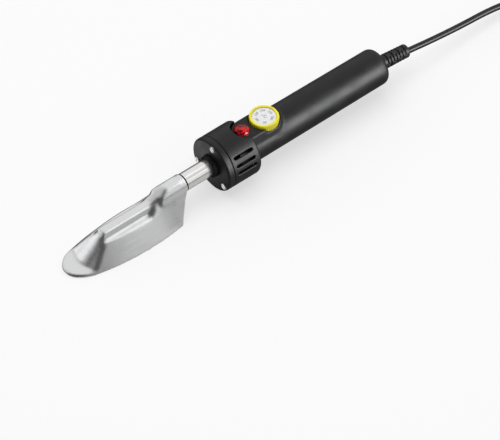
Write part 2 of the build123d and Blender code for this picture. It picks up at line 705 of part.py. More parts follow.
def strain_relief():
    """The rubber strain relief: a plain root, ribs with staggered slots and a rounded end."""
    length = RELIEF_REAR_X - HANDLE_REAR_X - 0.6
    outline = [
        (-RELIEF_ROOT, 0),
        (-RELIEF_ROOT, RELIEF_RADIUS),
        (length - RELIEF_TIP_CHAMFER, RELIEF_END_RADIUS),
        (length, RELIEF_END_RADIUS - RELIEF_TIP_CHAMFER),
        (length, 0),
    ]
    profile = make_face(Polyline(*[(x, 0, radius) for x, radius in outline], close=True))
    body = revolve(profile, Axis((0, 0, 0), (1, 0, 0)))
    pitch = (length - 7.0) / RELIEF_RIBS
    for index in range(RELIEF_RIBS):
        plane = along_x(4.6 + index * pitch, 0)
        ring = extrude(plane * (Circle(RELIEF_RADIUS + 1) - Circle(5.2)), amount=RIB_GAP)
        bridge = Rectangle(3.0, 30) if index % 2 else Rectangle(30, 3.0)
        body = body - (ring - extrude(plane * bridge, amount=RIB_GAP))
    body = Pos(HANDLE_REAR_X + 0.45, 0, AXIS_Z) * Rot(0, RELIEF_DROOP, 0) * body
    body = body - block(HANDLE_REAR_X - 9, HANDLE_REAR_X + 0.05, -9, 9, AXIS_Z - 9, AXIS_Z + 9)
    neck = rod_x(HANDLE_REAR_X - 3.2, HANDLE_REAR_X + 3.0, 4.4)
    flange = rod_x(HANDLE_REAR_X - 5.4, HANDLE_REAR_X - 3.05, 6.6)
    inner_bore = rod_x(150, HANDLE_REAR_X + 0.5, CORD_DIAMETER / 2 + 0.1)
    return body + neck + flange - inner_bore - cord_bore()


def cord_bore():
    """The clearance for the cord behind the handle's end, along the cord's first run."""
    start = Vector(*CORD_ROUTE[0])
    run = Vector(*CORD_ROUTE[1]) - start
    return extrude(Plane(origin=start, z_dir=run) * Circle(CORD_DIAMETER / 2 + 0.3), amount=45)


def cord_inner_end():
    """The sheathed cord inside the handle, from its stripped end to the handle's end wall."""
    return rod_x(CLAMP_X - 12, HANDLE_REAR_X - 0.3, CORD_DIAMETER / 2)


def coil_section(grow):
    """The coil's rounded section in the plane through its middle, at its +X side."""
    width = COIL_TURNS_WIDE * CORD_DIAMETER + 2 * grow
    height = COIL_LAYERS * CORD_DIAMETER + 2 * grow
    middle_z = COIL_FLOOR_GAP + COIL_LAYERS * CORD_DIAMETER / 2
    middle = Plane(origin=(COIL_X + COIL_MEAN_RADIUS, COIL_Y, middle_z), x_dir=(1, 0, 0), z_dir=(0, -1, 0))
    return middle * RectangleRounded(width, height, 2.7)


def cord_coil():
    """The outer shape of the put-away coil: a rounded ring of layered turns."""
    return revolve(coil_section(0), Axis((COIL_X, COIL_Y, 0), (0, 0, 1)))


def cord_tie():
    """The strap that ties the coil, a flat band once round its section."""
    outer = coil_section(COIL_FLOOR_GAP - 0.05)
    inner = coil_section(0.05)
    upright = Axis((COIL_X, COIL_Y, 0), (0, 0, 1))
    return revolve(outer - inner, upright, revolution_arc=14).rotate(upright, TIE_ANGLE)


def power_cord():
    """The cord's free run, from the handle's end to the coil."""
    tube, path, radii = smooth_tube(CORD_ROUTE, CORD_DIAMETER / 2)
    report_cord("power_cord", tube, path, radii)
    return tube - cord_coil()


def cord_tail():
    """The short run from the coil to the plug."""
    tube, path, radii = smooth_tube(TAIL_ROUTE, CORD_DIAMETER / 2)
    report_cord("cord_tail", tube, path, radii)
    return tube - cord_coil()


def report_cord(name, tube, path, radii):
    """Print a tube's arc radii and how its volume compares with its section times its length."""
    expected = math.pi * (CORD_DIAMETER / 2) ** 2 * path.length
    print(name, "length", round(path.length, 1), "radii", [round(r) for r in radii])
    print(name, "volume over section times length", round(tube.volume / expected, 4))


# ---------------------------------------------------------------- plug

PLUG_BACK_X = TAIL_ROUTE[-1][0]
PLUG_Y = TAIL_ROUTE[-1][1]
PLUG_Z = TAIL_ROUTE[-1][2]
PLUG_FACE_X = PLUG_BACK_X + 44
PIN_PITCH = 19.0
PIN_RADIUS = 2.4
PIN_LENGTH = 19.0
PIN_SHOULDER = 0.3
PIN_ROOT_RADIUS = 1.9
PIN_ROOT_DEPTH = 12.0


def plug_rod(x0, x1, radius, y=0.0, z=0.0):
    return rod_x(x0, x1, radius, PLUG_Y + y, PLUG_Z + z)


def plug_body():
    """The moulded plug: a round head with side grooves, a narrower grip and a cord sleeve."""
    outline = [
        (PLUG_BACK_X + 0.3, 0),
        (PLUG_BACK_X + 0.3, 4.6),
        (PLUG_BACK_X + 14, 6.0),
        (PLUG_BACK_X + 16, 11.0),
        (PLUG_BACK_X + 26, 14.5),
        (PLUG_BACK_X + 28, PLUG_RADIUS),
        (PLUG_FACE_X, PLUG_RADIUS),
        (PLUG_FACE_X, 0),
    ]
    body = revolve(
        make_face(Polyline(*[(x, PLUG_Y, PLUG_Z + r) for x, r in outline], close=True)),
        Axis((0, PLUG_Y, PLUG_Z), (1, 0, 0)),
    )
    for side in (-1, 1):
        z = PLUG_Z + side * (PLUG_RADIUS - 1.6)
        groove = block(PLUG_BACK_X + 30, PLUG_FACE_X + 1, PLUG_Y - 2.6, PLUG_Y + 2.6, z - 2, z + 2)
        body = body - groove
        y = PLUG_Y + side * (PLUG_RADIUS + 0.6)
        flat = block(PLUG_BACK_X + 26, PLUG_FACE_X + 1, y - 2.4, y + 2.4, PLUG_Z - 8, PLUG_Z + 8)
        pin_y = side * PIN_PITCH / 2
        pin_root = plug_rod(PLUG_FACE_X - PIN_ROOT_DEPTH, PLUG_FACE_X + 1, PIN_ROOT_RADIUS, pin_y)
        body = body - flat - pin_root
    return body - plug_rod(PLUG_FACE_X - 16, PLUG_FACE_X + 1, 2.6, 0, 10)


def plug_pins():
    """The two round pins: rounded ends, and thinner roots held in the moulding."""
    pins = []
    shoulder_x = PLUG_FACE_X + PIN_SHOULDER
    for side in (-1, 1):
        y = side * PIN_PITCH / 2
        pin = plug_rod(shoulder_x, PLUG_FACE_X + PIN_LENGTH, PIN_RADIUS, y)
        tip = pin.edges().filter_by(GeomType.CIRCLE).sort_by(Axis.X)[-1]
        pins.append(fillet(tip, 1.2) + plug_rod(PLUG_FACE_X - PIN_ROOT_DEPTH, shoulder_x, PIN_ROOT_RADIUS, y))
    return Compound(children=pins)


def plug_earth_clips():
    """The two spring strips of the side earth contact, one in each groove."""
    clips = []
    for side in (-1, 1):
        z = PLUG_Z + side * (PLUG_RADIUS - 2.4)
        clips.append(block(PLUG_BACK_X + 30.1, PLUG_FACE_X - 1, PLUG_Y - 2.3, PLUG_Y + 2.3, z - 0.5, z + 0.5))
    return Compound(children=clips)


# ---------------------------------------------------------------- files

NODES = {
    "shoe": shoe,
    "shoe_set_screw": shoe_set_screw,
    "heater_cartridge": heater_cartridge,
    "sensor_probe": sensor_probe,
    "neck_tube": neck_tube,
    "neck_flange": neck_flange,
    "neck_bush": neck_bush,
    "mica_washer": mica_washer,
    "front_cap": front_cap,
    "cap_screws": cap_screws,
    "collar": collar,
    "handle_shell": handle_shell,
    "lamp_bezel": lamp_bezel,
    "lamp_lens": lamp_lens,
    "lamp_nut": lamp_nut,
    "lamp_bulb": lamp_bulb,
    "dial_knob": dial_knob,
    "dial_disc": dial_disc,
    "dial_shaft": lambda: dial_shaft_post(-0.02),
    "potentiometer_body": potentiometer_body,
    "potentiometer_nut": potentiometer_nut,
    "control_board": control_board,
    "triac": triac,
    "heat_sink": heat_sink,
    "suppression_capacitor": suppression_capacitor,
    "smoothing_capacitor": smoothing_capacitor,
    "glass_fuse": glass_fuse,
    "dropper_resistors": dropper_resistors,
    "terminal_block": terminal_block,
    "terminal_screws": terminal_screws,
    "cord_clamp": cord_clamp,
    "clamp_saddle": clamp_saddle,
    "clamp_screws": clamp_screws,
    "heater_leads": heater_leads,
    "sensor_leads": sensor_leads,
    "live_board_wire": lambda: mains_wires(TERMINAL_PITCH, BOARD_REAR_X - 4),
    "neutral_board_wire": lambda: mains_wires(0.01, BOARD_REAR_X - 4),
    "earth_lead": earth_lead,
    "live_core": lambda: cord_core(TERMINAL_PITCH),
    "neutral_core": lambda: cord_core(0.01),
    "earth_core": lambda: cord_core(-TERMINAL_PITCH),
    "cord_inner_end": cord_inner_end,
    "strain_relief": strain_relief,
    "power_cord": power_cord,
    "cord_coil": cord_coil,
    "cord_tie": cord_tie,
    "cord_tail": cord_tail,
    "plug_body": plug_body,
    "plug_pins": plug_pins,
    "plug_earth_clips": plug_earth_clips,
}

os.makedirs("parts", exist_ok=True)
for node, make in NODES.items():
    export_step(make(), f"parts/{node}.step")
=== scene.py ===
import json
import math

import bmesh
import bpy
import numpy as np
from mathutils import Matrix, Vector


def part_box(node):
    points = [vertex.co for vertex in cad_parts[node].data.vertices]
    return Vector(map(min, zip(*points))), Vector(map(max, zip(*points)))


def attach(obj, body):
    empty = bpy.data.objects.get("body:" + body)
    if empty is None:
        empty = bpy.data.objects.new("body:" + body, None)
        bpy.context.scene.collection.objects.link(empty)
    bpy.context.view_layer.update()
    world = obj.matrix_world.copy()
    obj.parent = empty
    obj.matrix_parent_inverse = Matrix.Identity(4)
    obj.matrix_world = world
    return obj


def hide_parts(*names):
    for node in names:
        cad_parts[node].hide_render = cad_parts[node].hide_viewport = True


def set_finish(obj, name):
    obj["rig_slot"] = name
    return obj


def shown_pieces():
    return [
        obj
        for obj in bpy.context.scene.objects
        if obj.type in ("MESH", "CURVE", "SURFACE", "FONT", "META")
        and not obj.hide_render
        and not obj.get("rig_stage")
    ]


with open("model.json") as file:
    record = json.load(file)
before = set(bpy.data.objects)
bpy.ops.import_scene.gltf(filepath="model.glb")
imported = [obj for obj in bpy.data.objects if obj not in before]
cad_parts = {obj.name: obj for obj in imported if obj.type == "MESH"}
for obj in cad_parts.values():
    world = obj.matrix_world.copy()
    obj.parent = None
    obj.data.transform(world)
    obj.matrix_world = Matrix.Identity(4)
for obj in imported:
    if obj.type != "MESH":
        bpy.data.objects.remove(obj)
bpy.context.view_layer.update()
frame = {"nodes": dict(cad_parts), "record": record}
NODES = frame["nodes"]
MM = 0.001

# The looks of a mains-heated hand iron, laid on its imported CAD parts. Metres, in the CAD's own frame:
# +X runs from the shoe's tip to the cord, +Z is up and the floor is z = 0.

# ---------------------------------------------------------------- settings

CAMERA_AZIMUTH = math.radians(-39.3)
CAMERA_ELEVATION = math.radians(48.05)
CAMERA_DISTANCE = 6.0
CAMERA_LENS = 510.0
CAMERA_TARGET = Vector((-0.0255, -0.0473, -0.006))

# The cord: listed points from the handle, the coil, and listed points to the plug.
CORD_DIAMETER = 0.0055
CORD_ROUTE = [
    (0.1565, 0.0, 0.0252),
    (0.1865, -0.0014, 0.0222),
    (0.217, -0.0020, 0.0178),
    (0.249, -0.0016, 0.0134),
    (0.279, -0.0012, 0.0108),
    (0.305, -0.0036, 0.0080),
    (0.329, -0.0130, 0.0032),
    (0.3515, -0.0232, 0.00375),
]
TAIL_ROUTE = [
    (0.3268, 0.0090, 0.0150),
    (0.3325, -0.0050, 0.0190),
    (0.3470, -0.0105, 0.0258),
    (0.3680, -0.0105, 0.0305),
]
COIL_CENTRE = Vector((0.366, 0.012))
COIL_OUTER_TURN = 0.03825
COIL_TURNS = 7.8
COIL_TURNS_WIDE = 4
COIL_FLOOR_Z = 0.00375
COIL_POINTS_PER_TURN = 16
COIL_START_ANGLE = math.radians(-112)
COIL_STEP_SHARE = 0.17
COIL_CLIMB_START = 0.60
COIL_CLIMB_SHARE = 0.24

# The cast shoe, as the CAD has it: the sole narrows towards the rear and the sides lean in by 33 degrees.
AXIS_HEIGHT = 25.2 * MM
SOLE_HALF_WIDTH = 20.8 * MM
SOLE_WIDTH_FROM_REAR = 15 * MM
SOLE_TAPER = 0.107
SIDE_SLOPE = 0.649
SOCKET_HALF_WIDTH = 8.7 * MM
SOCKET_SPARED_RADIUS = 8.35 * MM
FILL_LENGTH = 44 * MM
FILL_RUN_IN = 24 * MM
SOCKET_LENGTH = 12 * MM
PLATE_SPARED_HEIGHT = 2.4 * MM

# The lamp, the dial and the plug's grip.
LENS_FACETS = 8
DIAL_RIBS = 44
DIAL_RIB_DEPTH = 0.45 * MM
DIAL_BORE_RADIUS = 3.05 * MM
DIAL_NUMBERS = ("50", "100", "150", "200", "250", "300")
DIAL_TICKS = 26
DIAL_START = math.radians(145)
DIAL_SWEEP = math.radians(290)
PLUG_GRIP_FROM = 16.5 * MM
PLUG_GRIP_TO = 26.2 * MM
PLUG_RIB_SPACING = 2.4 * MM
PLUG_RIB_DEPTH = 0.35 * MM

# The tent of light and its dark opening towards the camera, in degrees and in strength.
TENT_ABOVE = 0.72
TENT_BELOW = 0.12
OPENING_HALF_ANGLE = 54
OPENING_SOFTNESS = 14
OPENING_SHARE = 0.12
BACKDROP = 0.98
BLACK_SLOTS = ("black_plastic", "black_bush", "black_rubber", "cord_rubber", "plug_rubber", "red_lens")


# ---------------------------------------------------------------- camera


def camera_direction():
    """From the object towards the camera."""
    level = math.cos(CAMERA_ELEVATION)
    x = math.sin(CAMERA_AZIMUTH) * level
    y = -math.cos(CAMERA_AZIMUTH) * level
    return Vector((x, y, math.sin(CAMERA_ELEVATION)))


def add_object(name, data):
    piece = bpy.data.objects.new(name, data)
    bpy.context.collection.objects.link(piece)
    return piece


def add_camera():
    """A long lens far away, at the photograph's angle."""
    data = bpy.data.cameras.new("camera")
    data.lens = CAMERA_LENS
    data.sensor_width = 36.0
    data.clip_start = 0.1
    data.clip_end = 100.0
    camera = add_object("camera", data)
    back = camera_direction()
    camera.location = CAMERA_TARGET + back * CAMERA_DISTANCE
    camera.rotation_mode = "QUATERNION"
    camera.rotation_quaternion = (-back).to_track_quat("-Z", "Y")
    bpy.context.scene.camera = camera


add_camera()


# ---------------------------------------------------------------- cord


def smooth_share(value):
    """0 below 0, 1 above 1, and an even S-curve between."""
    value = min(1.0, max(0.0, value))
    return value * value * (3 - 2 * value)


def coil_radius_and_height(turn):
    """The coil's radius and height after so many turns: inwards on the floor, back outwards on top.

    Each turn is a circle that steps to the next radius in the last part of the turn."""
    whole = int(turn)
    late = (turn - whole - (1 - COIL_STEP_SHARE)) / COIL_STEP_SHARE
    step = smooth_share(late / 0.7)
    rise = smooth_share((late - 0.3) / 0.7)
    last_inner = COIL_TURNS_WIDE - 1
    if whole < last_inner:
        return COIL_OUTER_TURN - CORD_DIAMETER * (whole + step), COIL_FLOOR_Z
    innermost = COIL_OUTER_TURN - CORD_DIAMETER * last_inner
    if whole == last_inner:
        return innermost, COIL_FLOOR_Z + CORD_DIAMETER * rise
    upper_z = COIL_FLOOR_Z + CORD_DIAMETER
    outwards = whole - COIL_TURNS_WIDE
    if outwards < last_inner:
        return innermost + CORD_DIAMETER * (outwards + step), upper_z
    climb = smooth_share((turn - whole - COIL_CLIMB_START) / COIL_CLIMB_SHARE)
    return COIL_OUTER_TURN, upper_z + CORD_DIAMETER * climb


def coil_points():
    """The control points of the coil's turns, which circle just outside the line they draw."""
    points = []
    outside = 1 / math.cos(math.pi / COIL_POINTS_PER_TURN)
    for step in range(round(COIL_TURNS * COIL_POINTS_PER_TURN)):
        turn = (step + 0.5) / COIL_POINTS_PER_TURN
        radius, z = coil_radius_and_height(turn)
        angle = COIL_START_ANGLE + 2 * math.pi * turn
        x = COIL_CENTRE.x + radius * outside * math.cos(angle)
        y = COIL_CENTRE.y + radius * outside * math.sin(angle)
        points.append((x, y, z))
    return points


def add_cord():
    """The mains cord: one smooth spline from the handle through the coil to the plug."""
    points = CORD_ROUTE + coil_points() + TAIL_ROUTE
    data = bpy.data.curves.new("mains_cord", "CURVE")
    data.dimensions = "3D"
    data.bevel_depth = CORD_DIAMETER / 2
    data.bevel_resolution = 6
    data.resolution_u = 8
    data.use_fill_caps = True
    spline = data.splines.new("NURBS")
    spline.points.add(len(points) - 1)
    for point, place in zip(spline.points, points):
        point.co = (*place, 1.0)
    spline.order_u = 3
    spline.use_endpoint_u = True
    return add_object("mains_cord", data)


mains_cord = add_cord()


# ---------------------------------------------------------------- material tools


def soft_range(nodes, links, value, limits):
    """A value spread from its (low, high) to a new (low, high) with soft ends."""
    node = nodes.new("ShaderNodeMapRange")
    node.interpolation_type = "SMOOTHSTEP"
    for socket, number in zip(("From Min", "From Max", "To Min", "To Max"), limits):
        node.inputs[socket].default_value = number
    links.new(value, node.inputs["Value"])
    return node.outputs["Result"]


def joined_values(nodes, links, operation, one, two):
    """Two values put together by a maths operation."""
    node = nodes.new("ShaderNodeMath")
    node.operation = operation
    links.new(one, node.inputs[0])
    links.new(two, node.inputs[1])
    return node.outputs["Value"]


class Surface:
    """A procedural material: a shader with textures laid on in the object's own coordinates."""

    def __init__(self, name, color, roughness, **sockets):
        self.material = bpy.data.materials.new(name)
        self.material.use_nodes = True
        self.material.diffuse_color = (*color, 1.0)
        self.nodes = self.material.node_tree.nodes
        self.links = self.material.node_tree.links
        self.shader = self.nodes["Principled BSDF"]
        self.set("Base Color", (*color, 1.0))
        self.set("Roughness", roughness)
        for socket, value in sockets.items():
            self.set(socket.replace("_", " "), value)
        self.place = self.nodes.new("ShaderNodeTexCoord").outputs["Object"]
        self.height = None

    def set(self, socket, value):
        self.shader.inputs[socket].default_value = value

    def stretched(self, stretch):
        mapping = self.nodes.new("ShaderNodeMapping")
        mapping.inputs["Scale"].default_value = stretch
        self.links.new(self.place, mapping.inputs["Vector"])
        return mapping.outputs["Vector"]

    def noise(self, size, detail=3.0, rough=0.55, stretch=None, twist=0.0):
        """Cloudy noise whose features are about size metres across."""
        node = self.nodes.new("ShaderNodeTexNoise")
        node.inputs["Scale"].default_value = 1.0 / size
        node.inputs["Detail"].default_value = detail
        node.inputs["Roughness"].default_value = rough
        node.inputs["Distortion"].default_value = twist
        self.links.new(self.stretched(stretch) if stretch else self.place, node.inputs["Vector"])
        return node.outputs["Fac"]

    def cells(self, size, stretch=None):
        """A cell pattern whose cells are about size metres across."""
        node = self.nodes.new("ShaderNodeTexVoronoi")
        node.inputs["Scale"].default_value = 1.0 / size
        self.links.new(self.stretched(stretch) if stretch else self.place, node.inputs["Vector"])
        return node.outputs["Distance"]

    def bands(self, size, axis, twist=0.0):
        """Even waves along an axis, size metres apart."""
        node = self.nodes.new("ShaderNodeTexWave")
        node.bands_direction = axis
        node.inputs["Scale"].default_value = math.pi / 10 / size
        node.inputs["Distortion"].default_value = twist
        node.inputs["Detail"].default_value = 0.0
        self.links.new(self.place, node.inputs["Vector"])
        return node.outputs["Fac"]

    def ranged(self, value, low, high, to_low=0.0, to_high=1.0):
        return soft_range(self.nodes, self.links, value, (low, high, to_low, to_high))

    def joined(self, operation, one, two):
        return joined_values(self.nodes, self.links, operation, one, two)

    def blend(self, factor, low, high):
        """A colour between two colours; low or high may be another node's colour."""
        node = self.nodes.new("ShaderNodeMix")
        node.data_type = "RGBA"
        self.links.new(factor, node.inputs[0])
        for socket, color in ((node.inputs[6], low), (node.inputs[7], high)):
            if isinstance(color, tuple):
                socket.default_value = (*color, 1.0)
            else:
                self.links.new(color, socket)
        return node.outputs[2]

    def by_facing(self, scale):
        """A random value for each way that a surface can face; flat facets get one value each."""
        facing = self.nodes.new("ShaderNodeNewGeometry").outputs["True Normal"]
        node = self.nodes.new("ShaderNodeTexNoise")
        node.inputs["Scale"].default_value = scale
        node.inputs["Detail"].default_value = 0.0
        self.links.new(facing, node.inputs["Vector"])
        return node.outputs["Fac"]

    def paint(self, color):
        self.links.new(color, self.shader.inputs["Base Color"])

    def gloss(self, value):
        self.links.new(value, self.shader.inputs["Roughness"])

    def bump(self, height, depth, strength=1.0):
        """Raise the surface by height times depth metres; repeated calls add up."""
        node = self.nodes.new("ShaderNodeBump")
        node.inputs["Strength"].default_value = strength
        node.inputs["Distance"].default_value = depth
        self.links.new(height, node.inputs["Height"])
        if self.height is not None:
            self.links.new(self.height, node.inputs["Normal"])
        self.height = node.outputs["Normal"]
        self.links.new(self.height, self.shader.inputs["Normal"])

    def edges(self):
        """1 on outer edges, 0.5 on plain surfaces and 0 in corners."""
        return self.nodes.new("ShaderNodeNewGeometry").outputs["Pointiness"]

    def along_x(self):
        """How far forward or back a point of the surface is."""
        node = self.nodes.new("ShaderNodeSeparateXYZ")
        self.links.new(self.place, node.inputs["Vector"])
        return node.outputs["X"]


# ---------------------------------------------------------------- metals


def cast_aluminium():
    """Bead-blasted and lightly linished cast aluminium, its tone varying a little in soft clouds."""
    s = Surface("cast_aluminium", (0.80, 0.80, 0.81), 0.36, Metallic=1.0)
    clouds = s.noise(0.012, 4)
    grain = s.noise(0.0006, 3)
    linish = s.noise(0.0016, 4, stretch=(0.06, 1.0, 1.0))
    s.paint(s.blend(clouds, (0.74, 0.745, 0.755), (0.85, 0.85, 0.855)))
    s.gloss(s.joined("ADD", s.ranged(clouds, 0.3, 0.7, 0.24, 0.32), s.ranged(linish, 0.3, 0.7, 0.0, 0.1)))
    s.bump(clouds, 0.00012, 0.25)
    s.bump(linish, 0.00002, 0.35)
    s.bump(grain, 0.00003, 0.45)
    return s


def neck_steel():
    """Bright turned stainless tube with fine rings, and a painted dark ring where it enters the shoe: the
    reflection of the shaded gap at the socket's mouth, painted into its colour.
    """
    s = Surface("neck_steel", (0.86, 0.85, 0.84), 0.16, Metallic=1.0)
    rings = s.noise(0.0005, 2, stretch=(1.0, 0.02, 0.02))
    smudge = s.noise(0.008, 4)
    bright = s.blend(smudge, (0.82, 0.80, 0.78), (0.90, 0.90, 0.895))
    shoe_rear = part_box("shoe")[1].x
    # Painted reflection: the tube is painted near black up to just behind the shoe's rear end, standing in
    # for the shaded gap it mirrors there.
    painted_gap_reflection = s.ranged(s.along_x(), shoe_rear + 0.5 * MM, shoe_rear + 0.9 * MM)
    s.paint(s.blend(painted_gap_reflection, (0.015, 0.014, 0.013), bright))
    s.gloss(s.joined("ADD", s.ranged(smudge, 0.35, 0.7, 0.10, 0.17), s.ranged(rings, 0.3, 0.7, 0.0, 0.07)))
    s.bump(rings, 0.000012, 0.35)
    return s


def plated_steel(name, color, roughness):
    """Zinc- or nickel-plated steel, slightly cloudy, with fine scratches."""
    s = Surface(name, color, roughness, Metallic=1.0)
    clouds = s.noise(0.0018, 4)
    scratches = s.noise(0.0007, 5, 0.7, stretch=(1.0, 0.15, 0.6))
    darker = tuple(0.82 * value for value in color)
    s.paint(s.blend(clouds, darker, color))
    s.gloss(s.ranged(clouds, 0.3, 0.7, roughness * 0.8, roughness * 1.4))
    s.bump(scratches, 0.00001, 0.5)
    return s


# ---------------------------------------------------------------- plastics and rubbers


def moulded_plastic(name, color, roughness, grain_size, grain_depth, specular=0.5):
    """Moulded plastic: a spark-eroded grain, soft smudges of handling and paler worn edges."""
    s = Surface(name, color, roughness, Specular_IOR_Level=specular)
    grain = s.cells(grain_size)
    fine = s.noise(grain_size * 0.7, 2)
    smudge = s.noise(0.02, 5, 0.6, twist=0.4)
    worn = s.ranged(s.edges(), 0.52, 0.60)
    paler = tuple(min(1.0, value * 1.4 + 0.006) for value in color)
    deeper = tuple(value * 0.8 for value in color)
    body = s.blend(s.ranged(smudge, 0.3, 0.7), deeper, color)
    s.paint(s.blend(worn, body, paler))
    s.gloss(s.ranged(smudge, 0.32, 0.68, roughness * 0.88, roughness * 1.14))
    s.bump(grain, grain_depth, 0.6)
    s.bump(fine, grain_depth * 0.6, 0.5)
    return s


def rubber(name, color, roughness):
    """Soft moulded rubber with a faint bloom and fine pores."""
    s = Surface(name, color, roughness, Specular_IOR_Level=0.4)
    bloom = s.noise(0.006, 4)
    pores = s.noise(0.0004, 2)
    paler = tuple(value * 1.7 + 0.006 for value in color)
    s.paint(s.blend(s.ranged(bloom, 0.35, 0.75), color, paler))
    s.gloss(s.ranged(bloom, 0.3, 0.7, roughness * 0.85, roughness * 1.2))
    s.bump(pores, 0.00002, 0.5)
    return s


def red_lens():
    """Clear red plastic with painted light and shade: each of its flat faces is painted bright red or dark
    maroon by the way it is turned.
    """
    s = Surface("red_lens", (0.55, 0.006, 0.012), 0.07, IOR=1.49, Transmission_Weight=0.15)
    # Painted light and shade: the colour runs from dark maroon to bright red by the direction each flat
    # face is turned.
    painted_facet_light = s.by_facing(5.0)
    swirl = s.noise(0.004, 3, twist=1.2)
    s.paint(s.blend(s.ranged(painted_facet_light, 0.38, 0.62), (0.035, 0.0006, 0.001), (0.58, 0.007, 0.013)))
    s.gloss(s.ranged(swirl, 0.3, 0.7, 0.04, 0.10))
    return s


def printed_disc():
    """Printed white film: faint fibre mottling under a satin lacquer."""
    s = Surface("printed_disc", (0.80, 0.80, 0.82), 0.32, Coat_Weight=0.4, Coat_Roughness=0.18)
    mottle = s.noise(0.0012, 4)
    s.paint(s.blend(s.ranged(mottle, 0.3, 0.7), (0.74, 0.745, 0.77), (0.85, 0.85, 0.86)))
    s.gloss(s.ranged(mottle, 0.3, 0.7, 0.28, 0.38))
    s.bump(mottle, 0.00001, 0.4)
    return s


def print_ink():
    """Dull grey printing ink, thin in places."""
    s = Surface("print_ink", (0.14, 0.14, 0.16), 0.55)
    thin = s.noise(0.0005, 3)
    s.paint(s.blend(s.ranged(thin, 0.35, 0.75), (0.16, 0.16, 0.18), (0.36, 0.36, 0.39)))
    s.gloss(s.ranged(thin, 0.3, 0.7, 0.45, 0.62))
    return s


def clear_glass():
    """Thin bulb glass with a slight ripple."""
    s = Surface("bulb_glass", (0.95, 0.93, 0.90), 0.04, IOR=1.5, Transmission_Weight=0.9)
    ripple = s.noise(0.002, 2)
    s.gloss(s.ranged(ripple, 0.3, 0.7, 0.02, 0.07))
    s.bump(ripple, 0.00002, 0.3)
    return s


def layered_mica():
    """Split mica in overlapping flakes."""
    s = Surface("mica", (0.55, 0.47, 0.33), 0.3, Coat_Weight=0.3)
    flakes = s.cells(0.0025, stretch=(6.0, 1.0, 1.0))
    s.paint(s.blend(flakes, (0.42, 0.35, 0.24), (0.68, 0.60, 0.45)))
    s.gloss(s.ranged(flakes, 0.1, 0.8, 0.2, 0.42))
    s.bump(flakes, 0.00003, 0.5)
    return s


def circuit_board():
    """Green lacquered glass-fibre board with a faint weave."""
    s = Surface("board_green", (0.02, 0.16, 0.06), 0.3, Coat_Weight=0.5)
    weave = s.joined("MULTIPLY", s.bands(0.0005, "X"), s.bands(0.0005, "Y"))
    clouds = s.noise(0.01, 3)
    s.paint(s.blend(clouds, (0.014, 0.12, 0.04), (0.03, 0.2, 0.08)))
    s.gloss(s.ranged(clouds, 0.3, 0.7, 0.24, 0.36))
    s.bump(weave, 0.00002, 0.4)
    return s


def woven_sleeve():
    """Pale heat-proof glass braid."""
    s = Surface("heat_sleeve", (0.72, 0.68, 0.58), 0.75, Sheen_Weight=0.2)
    braid = s.joined("MULTIPLY", s.bands(0.0006, "X", 1.5), s.bands(0.0006, "DIAGONAL", 1.5))
    s.paint(s.blend(braid, (0.52, 0.48, 0.39), (0.80, 0.76, 0.66)))
    s.gloss(s.ranged(braid, 0.0, 1.0, 0.85, 0.65))
    s.bump(braid, 0.00006, 0.6)
    return s


def tie_strap():
    """A woven black hook-and-loop strap."""
    s = Surface("tie_black", (0.02, 0.02, 0.022), 0.8, Sheen_Weight=0.4)
    weave = s.joined("MULTIPLY", s.bands(0.0009, "X", 0.6), s.bands(0.0009, "Z", 0.6))
    s.paint(s.blend(weave, (0.010, 0.010, 0.011), (0.035, 0.035, 0.038)))
    s.gloss(s.ranged(weave, 0.0, 1.0, 0.9, 0.7))
    s.bump(weave, 0.00008, 0.7)
    return s


def pale_floor():
    """The plain studio light table, with a trace of paper tooth."""
    s = Surface("pale_floor", (0.42, 0.42, 0.42), 0.85, Emission_Strength=0.60)
    s.set("Emission Color", (1.0, 1.0, 1.0, 1.0))
    s.set("Specular IOR Level", 0.1)
    tooth = s.noise(0.003, 3)
    s.paint(s.blend(tooth, (0.41, 0.41, 0.41), (0.43, 0.43, 0.43)))
    s.gloss(s.ranged(tooth, 0.3, 0.7, 0.8, 0.9))
    return s


